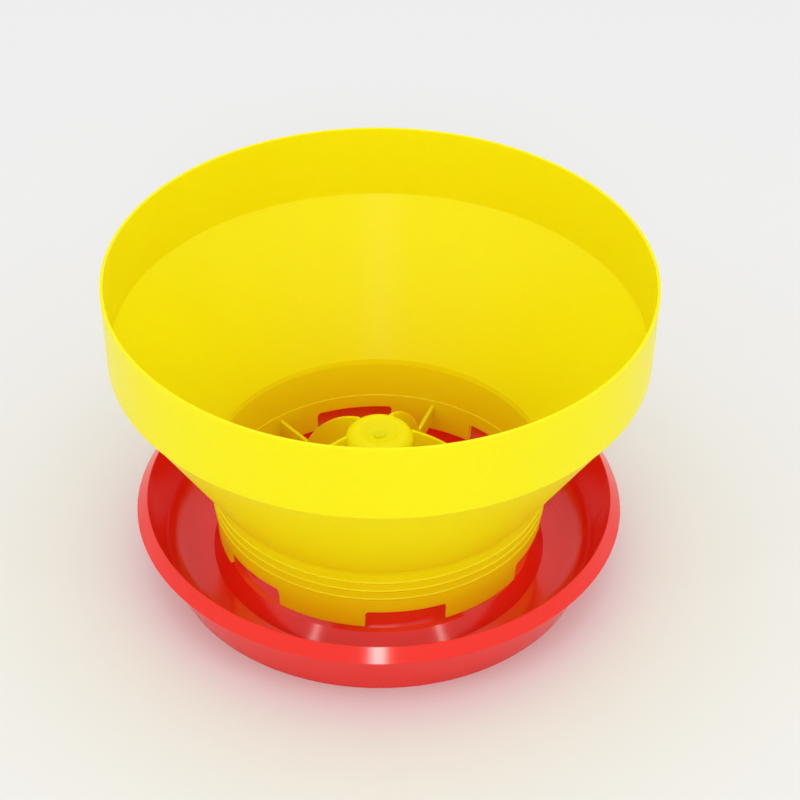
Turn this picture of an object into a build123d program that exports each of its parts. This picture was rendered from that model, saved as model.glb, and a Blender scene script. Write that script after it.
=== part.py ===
from build123d import *
import math
import os

# Poultry feeder: a yellow hopper moulding stands on a red pan moulding, and one pin holds them together.
# Millimetres, +Z up. The origin is on the vertical axis, in the plane of the pan's foot.

# Hopper: band round the mouth, cone below it and notched skirt at the bottom
hopper_wall = 2.2
rim_radius = 190.0
rim_height = 241.5
band_bottom_radius = 188.2
band_bottom_height = 184.0
band_shoulder = 1.0
cone_bottom_radius = 121.0
cone_bottom_height = 78.5
kink_bevel = 2.0
skirt_bottom_radius = 116.4
skirt_bottom_height = 25.5

# Skirt: moulded rings and feed notches
ring_count = 3
top_ring_height = 69.0
ring_pitch = 8.0
ring_width = 2.4
ring_depth = 0.7
ring_root = 0.5
inner_ledge_height = 50.0
inner_ledge = 0.5
notch_count = 6
notch_angle = 28.4
notch_height = 14.5
notch_corner_radius = 3.0
first_notch_azimuth = -80.3

# Hub with a dished top
hub_radius = 24.4
hub_height = 107.0
hub_wall = 2.4
hub_shoulder_radius = 8.0
hub_roof_thickness = 3.5
dish_floor_radius = 7.0
dish_mouth_radius = 14.5
dish_depth = 3.6
dish_edge_radius = 7.0

# Fins that carry the hub, one to each tooth of the skirt
fin_thickness = 2.6
fin_drop = 3.0
fin_arch_end_radius = 83.0
fin_arch_bulge = 7.0
fin_strip_height = 46.0
fin_strip_depth = 13.0
fin_lift = 5.0

# Pan: foot, wall, sloping lip and trough
pan_wall = 2.4
pan_height = 53.9
foot_radius = 151.0
wall_lean = 18.8
lip_width = 7.6
lip_drop = 9.2
lip_chamfer = 0.6
floor_height = 6.0
trough_corner_radius = 20.0

# Pan: step, cone and the seat that the hub stands on
step_bottom_radius = 120.4
step_top_radius = 111.0
step_top_height = 15.0
cone_base_radius = 106.0
seat_radius = 27.0
seat_height = 77.0

# Post inside the hub, and the pin through both roofs
post_clearance = 0.3
post_chamfer = 1.5
pin_radius = 1.7
pin_clearance = 0.2
pin_head_radius = 4.0
pin_head_height = 0.8
pin_barb_radius = 2.5
pin_barb_length = 5.0
pin_slot_width = 0.8

cut_margin = 1.0


def between(value, start, end):
    """How far a value lies from start to end, as a share from 0 to 1."""
    return (value - start) / (end - start)


def revolved(outline):
    """Turn a closed outline, drawn as radius and height, round the vertical axis."""
    return revolve(make_face(Plane.XZ * outline), Axis.Z)


def rounded_outline(corners):
    """A closed outline through points, each with the radius of its own corner."""
    points = [point for point, radius in corners]
    radii = [radius for point, radius in corners]
    return FilletPolyline(*points, radius=radii, close=True)


def bevelled(before, corner, after, bevel):
    """The two points that take the place of a sharp corner between its neighbours."""
    points = []
    for neighbour in (before, after):
        reach = math.hypot(neighbour[0] - corner[0], neighbour[1] - corner[1])
        share = bevel / reach
        radius = corner[0] + share * (neighbour[0] - corner[0])
        height = corner[1] + share * (neighbour[1] - corner[1])
        points.append((radius, height))
    return points


def around(shape, count, first_azimuth):
    """Copies of a shape that points along +X, spread evenly round the axis."""
    step = 360.0 / count
    return [Rot(0, 0, first_azimuth + step * index) * shape for index in range(count)]


def upright(radius, bottom, top):
    """A cylinder on the axis, from one height up to another."""
    return Pos(0, 0, bottom) * Cylinder(radius, top - bottom, align=(Align.CENTER, Align.CENTER, Align.MIN))


def skirt_radius(height):
    """Outer radius of the skirt at a height."""
    share = between(height, skirt_bottom_height, cone_bottom_height)
    return skirt_bottom_radius + share * (cone_bottom_radius - skirt_bottom_radius)


def hopper_shell():
    """Band, cone and skirt as one wall of even thickness."""
    cone_top_radius = band_bottom_radius - band_shoulder
    cone_height = band_bottom_height - cone_bottom_height
    cone_slope = (cone_top_radius - cone_bottom_radius) / cone_height
    cone_inset = hopper_wall * math.hypot(1.0, cone_slope)
    band_slope = (rim_radius - band_bottom_radius) / (rim_height - band_bottom_height)
    skirt_slope = skirt_radius(1.0) - skirt_radius(0.0)
    band_lift = (cone_inset - hopper_wall + band_shoulder) / (cone_slope - band_slope)
    inner_band_radius = band_bottom_radius - hopper_wall + band_slope * band_lift
    kink_lift = (cone_inset - hopper_wall) / (cone_slope - skirt_slope)
    inner_kink_radius = cone_bottom_radius - hopper_wall + skirt_slope * kink_lift
    cone_top = (cone_top_radius, band_bottom_height)
    kink = (cone_bottom_radius, cone_bottom_height)
    skirt_foot = (skirt_bottom_radius, skirt_bottom_height)
    lower_wall = hopper_wall + inner_ledge
    inner_skirt_foot = (skirt_bottom_radius - lower_wall, skirt_bottom_height)
    ledge_inner = (skirt_radius(inner_ledge_height) - lower_wall, inner_ledge_height)
    ledge_top = inner_ledge_height + inner_ledge
    ledge_outer = (skirt_radius(ledge_top) - hopper_wall, ledge_top)
    inner_kink = (inner_kink_radius, cone_bottom_height + kink_lift)
    inner_band_foot = (inner_band_radius, band_bottom_height + band_lift)
    outline = Polyline(
        (rim_radius, rim_height),
        (band_bottom_radius, band_bottom_height),
        cone_top,
        *bevelled(cone_top, kink, skirt_foot, kink_bevel),
        skirt_foot,
        inner_skirt_foot,
        ledge_inner,
        ledge_outer,
        *bevelled(ledge_outer, inner_kink, inner_band_foot, kink_bevel),
        inner_band_foot,
        (rim_radius - hopper_wall, rim_height),
        close=True,
    )
    return revolved(outline)


def skirt_rings():
    """Low ridges round the outside of the skirt."""
    rings = []
    for index in range(ring_count):
        middle = top_ring_height - ring_pitch * index
        low = middle - ring_width / 2
        high = middle + ring_width / 2
        section = Polyline(
            (skirt_radius(low) - ring_root, low),
            (skirt_radius(low), low),
            (skirt_radius(middle) + ring_depth, middle),
            (skirt_radius(high), high),
            (skirt_radius(high) - ring_root, high),
            close=True,
        )
        rings.append(revolved(section))
    return rings


def feed_notches():
    """Blocks that open the skirt's lower edge, with their upper corners rounded."""
    width = 2 * skirt_bottom_radius * math.sin(math.radians(notch_angle / 2))
    height = notch_height + cut_margin
    depth = abs(cone_bottom_radius - skirt_bottom_radius) + 4 * hopper_wall
    bottom = skirt_bottom_height - cut_margin
    block = Pos(skirt_bottom_radius, 0, bottom + height / 2) * Box(depth, width, height)
    upper = block.edges().filter_by(Axis.X).group_by(Axis.Z)[-1]
    return around(fillet(upper, notch_corner_radius), notch_count, first_notch_azimuth)


def hub_roof_height():
    """Height of the underside of the hub's roof."""
    return hub_height - dish_depth - hub_roof_thickness


def cavity_radius():
    return hub_radius - hub_wall


def hub():
    """Open-bottomed cup with a raised rim round its dished top."""
    dish_floor = hub_height - dish_depth
    corners = [
        ((0, seat_height), 0),
        ((hub_radius, seat_height), 0),
        ((hub_radius, hub_height), hub_shoulder_radius),
        ((dish_mouth_radius, hub_height), dish_edge_radius),
        ((dish_floor_radius, dish_floor), dish_edge_radius),
        ((0, dish_floor), 0),
    ]
    return revolved(rounded_outline(corners))


def hub_cavity():
    """Room for the pan's post inside the hub, with the pin's bore through the roof."""
    bottom = seat_height - cut_margin
    cavity = upright(cavity_radius(), bottom, hub_roof_height())
    return cavity + upright(pin_radius + pin_clearance, bottom, hub_height)


def pan_cone_slope():
    """Rise of the pan's cone for each millimetre inwards."""
    return (seat_height - step_top_height) / (cone_base_radius - seat_radius)


def pan_cone_height(radius):
    """Height of the pan's cone, or of the line that carries it on inwards."""
    return step_top_height + (cone_base_radius - radius) * pan_cone_slope()


def fin():
    """One upright fin: it arches down from the hub and runs out to the skirt as a low strip."""
    arch_start = (hub_radius, hub_height - fin_drop)
    arch_end = (fin_arch_end_radius, fin_strip_height)
    run = arch_end[0] - arch_start[0]
    fall = arch_start[1] - arch_end[1]
    chord = math.hypot(run, fall)
    arch_middle = (
        (arch_start[0] + arch_end[0]) / 2 + fin_arch_bulge * fall / chord,
        (arch_start[1] + arch_end[1]) / 2 + fin_arch_bulge * run / chord,
    )
    strip_bottom = fin_strip_height - fin_strip_depth
    knee_radius = cone_base_radius - (strip_bottom - fin_lift - step_top_height) / pan_cone_slope()
    tip_radius = skirt_radius(strip_bottom) - hopper_wall / 2
    root_radius = cavity_radius() + hub_wall / 2
    rest_of_outline = Polyline(
        arch_end,
        (tip_radius, fin_strip_height),
        (tip_radius, strip_bottom),
        (knee_radius, strip_bottom),
        (root_radius, pan_cone_height(root_radius) + fin_lift),
        (root_radius, arch_start[1]),
        arch_start,
    )
    outline = Curve([ThreePointArc(arch_start, arch_middle, arch_end), rest_of_outline])
    return extrude(make_face(Plane.XZ * outline), fin_thickness / 2, both=True)


def hopper():
    """Shell, rings, fins and hub in one moulding."""
    first_tooth_azimuth = first_notch_azimuth + 180.0 / notch_count
    shell = hopper_shell() + skirt_rings()
    fins = around(fin(), notch_count, first_tooth_azimuth)
    return shell - feed_notches() + fins + hub() - hub_cavity()


def outer_wall_radius(height):
    return foot_radius + height * math.tan(math.radians(wall_lean))


def inner_wall_radius(height):
    return outer_wall_radius(height) - pan_wall / math.cos(math.radians(wall_lean))


def post_top():
    """Height of the top of the post, just under the hub's roof."""
    return hub_roof_height() - post_clearance


def pan_shell():
    """Post, cone, step, trough, wall and sloping lip as one wall of even thickness."""
    step_angle = math.atan2(step_top_height - floor_height, step_bottom_radius - step_top_radius)
    step_shift = pan_wall * math.tan(step_angle / 2)
    underside = floor_height - pan_wall
    lip_top_radius = inner_wall_radius(pan_height)
    lip_length = math.hypot(lip_width, lip_drop)
    lip_end = (lip_top_radius + lip_width, pan_height - lip_drop)
    lip_heel = (lip_end[0] - pan_wall * lip_drop / lip_length, lip_end[1] - pan_wall * lip_width / lip_length)
    wall_slope = math.tan(math.radians(wall_lean))
    lip_slope = lip_width / lip_drop
    throat_height = (lip_heel[0] + lip_slope * lip_heel[1] - foot_radius) / (wall_slope + lip_slope)
    floor_corner = (inner_wall_radius(floor_height), floor_height)
    lip_top = (lip_top_radius, pan_height)
    throat = (outer_wall_radius(throat_height), throat_height)
    outer_corner = (outer_wall_radius(underside), underside)
    outer_step_foot = (step_bottom_radius - step_shift, underside)
    half_corner = math.radians(90.0 + wall_lean) / 2
    outer_radius = trough_corner_radius + pan_wall
    outer_bevel = outer_radius * (1 / math.sin(half_corner) - 1) / math.cos(half_corner)
    cone_shift = pan_wall * math.tan(math.atan(pan_cone_slope()) / 2)
    post_radius = cavity_radius() - post_clearance
    sharp_corners = [
        *bevelled(floor_corner, lip_top, lip_end, lip_chamfer),
        lip_end,
        lip_heel,
        throat,
        *bevelled(throat, outer_corner, outer_step_foot, outer_bevel),
        outer_step_foot,
        (step_top_radius - step_shift, step_top_height - pan_wall),
        (cone_base_radius - cone_shift, step_top_height - pan_wall),
        (seat_radius - cone_shift, seat_height - pan_wall),
        (post_radius - pan_wall, seat_height - pan_wall),
        (post_radius - pan_wall, post_top() - pan_wall),
        (0, post_top() - pan_wall),
        (0, post_top()),
        (post_radius - post_chamfer, post_top()),
        (post_radius, post_top() - post_chamfer),
        (post_radius, seat_height),
        (seat_radius, seat_height),
        (cone_base_radius, step_top_height),
        (step_top_radius, step_top_height),
        (step_bottom_radius, floor_height),
    ]
    corners = [(floor_corner, trough_corner_radius), *[(corner, 0) for corner in sharp_corners]]
    return revolved(rounded_outline(corners))


def pan_foot():
    """The wall's lower edge, carried straight down past the trough's rounded corner."""
    corner_turn = math.radians(90.0 - wall_lean)
    top = floor_height + trough_corner_radius * math.tan(corner_turn / 2) * math.cos(math.radians(wall_lean))
    outline = Polyline(
        (outer_wall_radius(0), 0),
        (outer_wall_radius(top), top),
        (inner_wall_radius(top), top),
        (inner_wall_radius(0), 0),
        close=True,
    )
    return revolved(outline)


def pan():
    """Shell and foot in one moulding, open underneath, with the pin's bore through the post."""
    pin_bore = upright(pin_radius + pin_clearance, seat_height, hub_roof_height())
    return pan_shell() + pan_foot() - pin_bore


def centre_pin():
    """Flat head in the hub's dish, shank through both roofs, and a split barb below them."""
    seat = hub_height - dish_depth
    barb_top = post_top() - pan_wall - pin_clearance
    barb_bottom = barb_top - pin_barb_length
    head_top = seat + pin_head_height
    outline = Polyline(
        (0, head_top),
        (pin_head_radius, head_top),
        (pin_head_radius, seat),
        (pin_radius, seat),
        (pin_radius, barb_top),
        (pin_barb_radius, barb_top),
        (pin_radius - pin_slot_width, barb_bottom),
        (0, barb_bottom),
        close=True,
    )
    slot_length = pin_barb_length + pan_wall + hub_roof_thickness / 2
    slot_width = 2 * pin_barb_radius + cut_margin
    slot = Pos(0, 0, barb_bottom + slot_length / 2) * Box(pin_slot_width, slot_width, slot_length)
    return revolved(outline) - slot


os.makedirs("parts", exist_ok=True)
export_step(hopper(), "parts/hopper.step")
export_step(pan(), "parts/pan.step")
export_step(centre_pin(), "parts/centre_pin.step")
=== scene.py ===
import math

import bpy
from mathutils import Matrix, Vector

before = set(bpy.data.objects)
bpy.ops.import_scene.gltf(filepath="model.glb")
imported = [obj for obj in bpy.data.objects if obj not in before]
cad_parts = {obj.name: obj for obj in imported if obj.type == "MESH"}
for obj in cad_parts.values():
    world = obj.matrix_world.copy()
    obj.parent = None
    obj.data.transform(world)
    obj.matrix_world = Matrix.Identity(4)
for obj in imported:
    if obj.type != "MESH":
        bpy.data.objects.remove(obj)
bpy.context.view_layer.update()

# Camera: standing in front of the feeder and looking down into the hopper
camera_place = Vector((0.0, -1.4625, 1.2601))
camera_pitch = math.radians(37.580)
camera_yaw = math.radians(0.561)
camera_roll = math.radians(0.721)
camera_lens = 118.03
camera_sensor = 36.0

# Floor
floor_size = 40.0
floor_colour = (0.805, 0.805, 0.81)
floor_roughness = 0.6

# Room: white all round, a little brighter low down, and even above a height given as the sine of its elevation
room_colour = (1.0, 1.0, 1.0)
horizon_strength = 1.10
overhead_strength = 0.98
overhead_from = 0.45

# Soft lights: watts, width and height in metres, azimuth from the front and elevation in degrees
light_target = Vector((0.0, 0.0, 0.12))
light_distance = 2.6
soft_lights = {
    "front_light": (4.8, 0.26, 0.26, 0.0, 33.0),
    "left_light": (1.5, 0.12, 0.4, -46.0, 42.0),
    "right_light": (1.5, 0.12, 0.4, 46.0, 42.0),
    "top_light": (4.5, 0.9, 0.9, 0.0, 66.0),
}

# Yellow plastic of the hopper and pin
yellow_dark = (0.885, 0.785, 0.003)
yellow_light = (0.905, 0.81, 0.005)
yellow_roughness = (0.28, 0.34)
yellow_specular = 0.11
yellow_scatter = 0.6
yellow_scatter_radius = (1.0, 0.8, 0.05)

# Red plastic of the pan
red_dark = (0.815, 0.014, 0.005)
red_light = (0.845, 0.018, 0.007)
red_roughness = (0.11, 0.15)
red_specular = 0.4
red_scatter = 0.3
red_scatter_radius = (1.0, 0.1, 0.05)

# Both plastics: light goes a few millimetres in
plastic_ior = 1.5
scatter_depth = 0.004

# Noise of each layer of the plastics: scale, detail and roughness
cloud_noise = (7.0, 3.0, 0.5)
gloss_noise = (38.0, 3.0, 0.5)
wave_noise = (16.0, 1.0, 0.4)
peel_noise = (240.0, 1.0, 0.5)

# Flow clouds and uneven gloss are drawn out upwards
cloud_stretch = (1.0, 1.0, 0.4)
gloss_stretch = (1.0, 1.0, 0.3)

# Levels of the cloud noise where the colour is at its darkest and at its lightest
cloud_dark_at = 0.3
cloud_light_at = 0.7

# Surface relief: slow waves, with the fine peel of a moulding over them, heights in metres
wave_height = 0.0002
wave_strength = 0.2
peel_height = 0.000012
peel_strength = 0.3


def new_material(name):
    """A material that holds only a shader and its output."""
    material = bpy.data.materials.new(name)
    material.use_nodes = True
    nodes = material.node_tree.nodes
    nodes.clear()
    shader = nodes.new("ShaderNodeBsdfPrincipled")
    output = nodes.new("ShaderNodeOutputMaterial")
    material.node_tree.links.new(shader.outputs["BSDF"], output.inputs["Surface"])
    return material, shader


def noise(tree, scale, detail, roughness, stretch=(1.0, 1.0, 1.0)):
    """Noise fixed to the object, finer along an axis where stretch is larger."""
    place = tree.nodes.new("ShaderNodeTexCoord")
    spread = tree.nodes.new("ShaderNodeMapping")
    spread.inputs["Scale"].default_value = stretch
    texture = tree.nodes.new("ShaderNodeTexNoise")
    texture.inputs["Scale"].default_value = scale
    texture.inputs["Detail"].default_value = detail
    texture.inputs["Roughness"].default_value = roughness
    tree.links.new(place.outputs["Object"], spread.inputs["Vector"])
    tree.links.new(spread.outputs["Vector"], texture.inputs["Vector"])
    return texture.outputs["Fac"]


def colour_blend(tree, source, dark, light):
    """A colour that goes from dark to light as the source rises."""
    node = tree.nodes.new("ShaderNodeValToRGB")
    first, last = node.color_ramp.elements
    first.position = cloud_dark_at
    first.color = (*dark, 1.0)
    last.position = cloud_light_at
    last.color = (*light, 1.0)
    tree.links.new(source, node.inputs["Fac"])
    return node.outputs["Color"]


def value_range(tree, source, start, end, source_end=1.0):
    """A value that goes from start to end as the source goes from 0 to source_end."""
    node = tree.nodes.new("ShaderNodeMapRange")
    node.inputs["From Max"].default_value = source_end
    node.inputs["To Min"].default_value = start
    node.inputs["To Max"].default_value = end
    tree.links.new(source, node.inputs["Value"])
    return node.outputs["Result"]


def bump(tree, source, height, strength):
    """Relief of a given height."""
    node = tree.nodes.new("ShaderNodeBump")
    node.inputs["Distance"].default_value = height
    node.inputs["Strength"].default_value = strength
    tree.links.new(source, node.inputs["Height"])
    return node


def moulded_plastic(name, dark, light, roughness, specular, scatter, scatter_radius):
    """Coloured plastic with faint flow clouds, uneven gloss and the slight orange peel of a moulding."""
    material, shader = new_material(name)
    tree = material.node_tree
    clouds = noise(tree, *cloud_noise, stretch=cloud_stretch)
    gloss = noise(tree, *gloss_noise, stretch=gloss_stretch)
    waves = bump(tree, noise(tree, *wave_noise), wave_height, wave_strength)
    peel = bump(tree, noise(tree, *peel_noise), peel_height, peel_strength)
    tree.links.new(waves.outputs["Normal"], peel.inputs["Normal"])
    tree.links.new(peel.outputs["Normal"], shader.inputs["Normal"])
    tree.links.new(colour_blend(tree, clouds, dark, light), shader.inputs["Base Color"])
    tree.links.new(value_range(tree, gloss, *roughness), shader.inputs["Roughness"])
    shader.inputs["IOR"].default_value = plastic_ior
    shader.inputs["Specular IOR Level"].default_value = specular
    shader.inputs["Subsurface Weight"].default_value = scatter
    shader.inputs["Subsurface Radius"].default_value = scatter_radius
    shader.inputs["Subsurface Scale"].default_value = scatter_depth
    return material


def dress(node, material):
    """Give a carried-over node its material."""
    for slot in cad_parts[node].material_slots:
        slot.material = material


def add_floor():
    """Plain pale floor under the feeder."""
    bpy.ops.mesh.primitive_plane_add(size=floor_size)
    floor = bpy.context.object
    floor.name = "floor"
    material, shader = new_material("floor")
    shader.inputs["Base Color"].default_value = (*floor_colour, 1.0)
    shader.inputs["Roughness"].default_value = floor_roughness
    floor.data.materials.append(material)


def soft_light(name, watts, width, height, azimuth, elevation):
    """A soft light at an azimuth from the front and an elevation, aimed at the feeder."""
    data = bpy.data.lights.new(name, "AREA")
    data.shape = "RECTANGLE"
    data.size = width
    data.size_y = height
    data.energy = watts
    light = bpy.data.objects.new(name, data)
    bpy.context.collection.objects.link(light)
    turn = math.radians(azimuth)
    rise = math.radians(elevation)
    away = Vector((
        math.sin(turn) * math.cos(rise),
        -math.cos(turn) * math.cos(rise),
        math.sin(rise),
    ))
    light.location = light_target + light_distance * away
    light.rotation_euler = (-away).to_track_quat("-Z", "Y").to_euler()


def add_room():
    """Pale room that lights the feeder from all round."""
    world = bpy.data.worlds.new("room")
    bpy.context.scene.world = world
    world.use_nodes = True
    tree = world.node_tree
    background = tree.nodes["Background"]
    background.inputs["Color"].default_value = (*room_colour, 1.0)
    direction = tree.nodes.new("ShaderNodeTexCoord")
    height = tree.nodes.new("ShaderNodeSeparateXYZ")
    tree.links.new(direction.outputs["Generated"], height.inputs["Vector"])
    strength = value_range(tree, height.outputs["Z"], horizon_strength, overhead_strength, overhead_from)
    tree.links.new(strength, background.inputs["Strength"])


def add_camera():
    """Camera set by its place, pitch, yaw and roll."""
    forward = Vector((
        math.sin(camera_yaw) * math.cos(camera_pitch),
        math.cos(camera_yaw) * math.cos(camera_pitch),
        -math.sin(camera_pitch),
    ))
    level_right = Vector((math.cos(camera_yaw), -math.sin(camera_yaw), 0.0))
    level_up = level_right.cross(forward)
    right = level_right * math.cos(camera_roll) + level_up * math.sin(camera_roll)
    up = level_up * math.cos(camera_roll) - level_right * math.sin(camera_roll)
    turn = Matrix((right, up, -forward)).transposed().to_4x4()
    data = bpy.data.cameras.new("camera")
    data.lens = camera_lens
    data.sensor_width = camera_sensor
    camera = bpy.data.objects.new("camera", data)
    bpy.context.collection.objects.link(camera)
    camera.matrix_world = Matrix.Translation(camera_place) @ turn
    bpy.context.scene.camera = camera


yellow = moulded_plastic(
    "yellow_plastic",
    yellow_dark,
    yellow_light,
    yellow_roughness,
    yellow_specular,
    yellow_scatter,
    yellow_scatter_radius,
)
red = moulded_plastic(
    "red_plastic",
    red_dark,
    red_light,
    red_roughness,
    red_specular,
    red_scatter,
    red_scatter_radius,
)

dress("hopper", yellow)
dress("centre_pin", yellow)
dress("pan", red)

add_floor()
for light_name, light_settings in soft_lights.items():
    soft_light(light_name, *light_settings)
add_room()
add_camera()
bpy.context.scene.view_settings.view_transform = "Standard"
